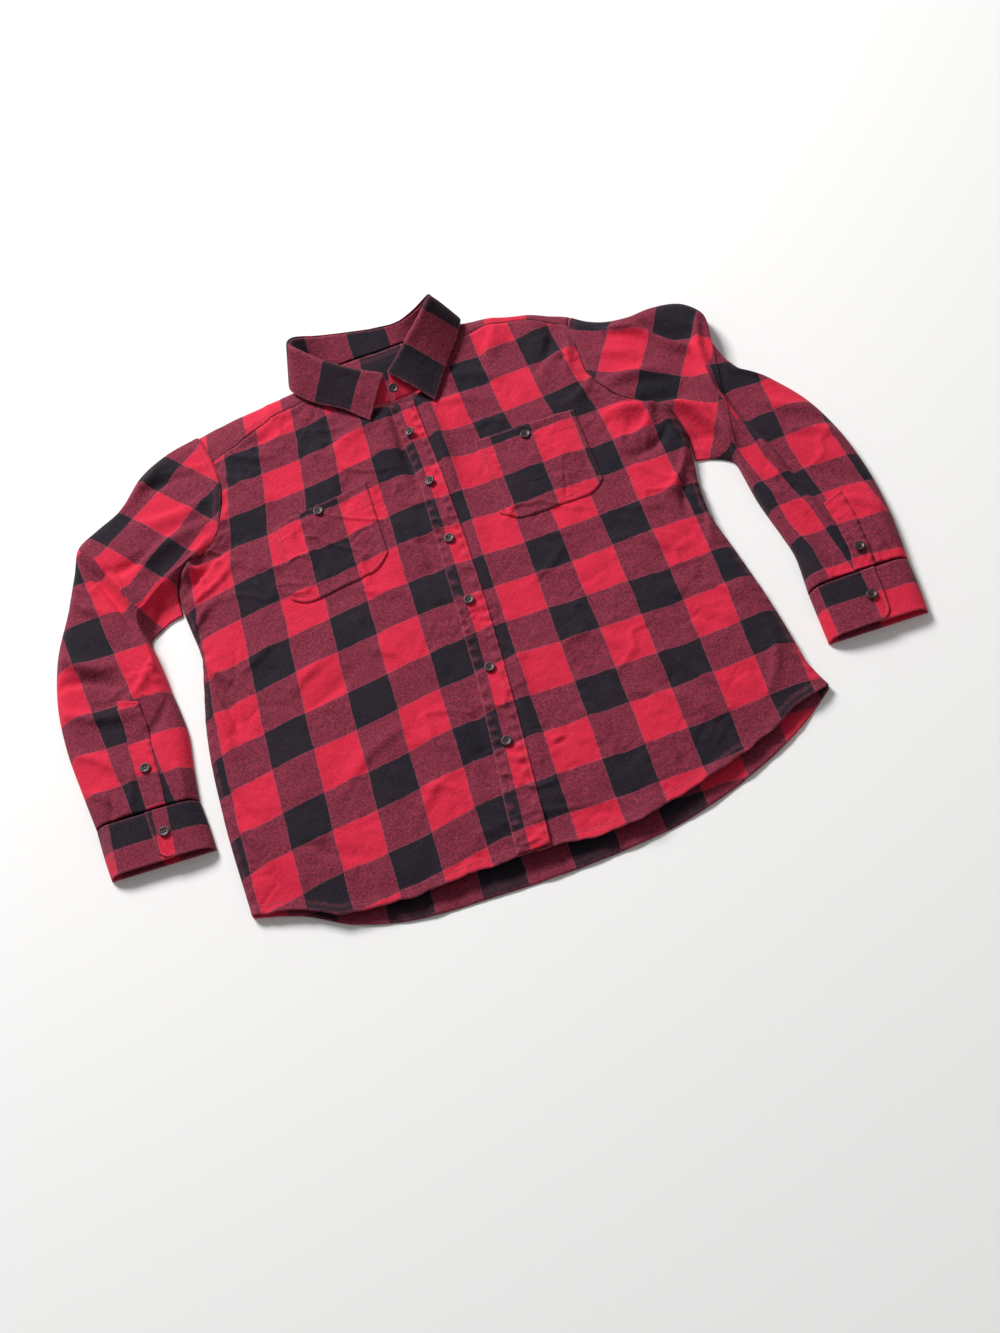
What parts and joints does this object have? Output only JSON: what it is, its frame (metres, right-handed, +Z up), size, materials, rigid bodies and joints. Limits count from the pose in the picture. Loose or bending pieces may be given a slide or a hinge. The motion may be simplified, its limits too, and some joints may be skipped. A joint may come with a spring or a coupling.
{
  "type": "flannel shirt",
  "caption": "Long-sleeved checked flannel shirt, buttoned and laid flat, with a turned-down collar, chest pockets, buttoned cuffs and a curved hem.",
  "frame": {"origin": "on the flat underside of the laid back panel, near the middle of the body", "axes": "+X towards the wearer's left sleeve, +Y from the hem to the collar, +Z up from the surface the shirt lies on"},
  "size_m": [0.975, 0.8133, 0.0629],
  "materials": {
    "flannel": "brushed cotton twill in a red and black buffalo check, soft and matt",
    "horn": "dark smoky resin, semi-gloss"
  },
  "bodies": {
    "root": {"back": "flannel", "yoke": "flannel", "front_right": "flannel", "front_left": "flannel", "placket": "flannel", "pocket_right": "flannel", "pocket_left": "flannel", "sleeve_right": "flannel", "sleeve_left": "flannel", "sleeve_placket_right": "flannel", "sleeve_placket_left": "flannel", "cuff_right": "flannel", "cuff_left": "flannel", "collar_stand": "flannel", "collar_leaf": "flannel", "button_collar": "horn", "button_front_1": "horn", "button_front_2": "horn", "button_front_3": "horn", "button_front_4": "horn", "button_front_5": "horn", "button_front_6": "horn", "button_pocket_right": "horn", "button_pocket_left": "horn", "button_sleeve_right": "horn", "button_sleeve_left": "horn", "button_cuff_right": "horn", "button_cuff_left": "horn"}
  },
  "joints": []
}
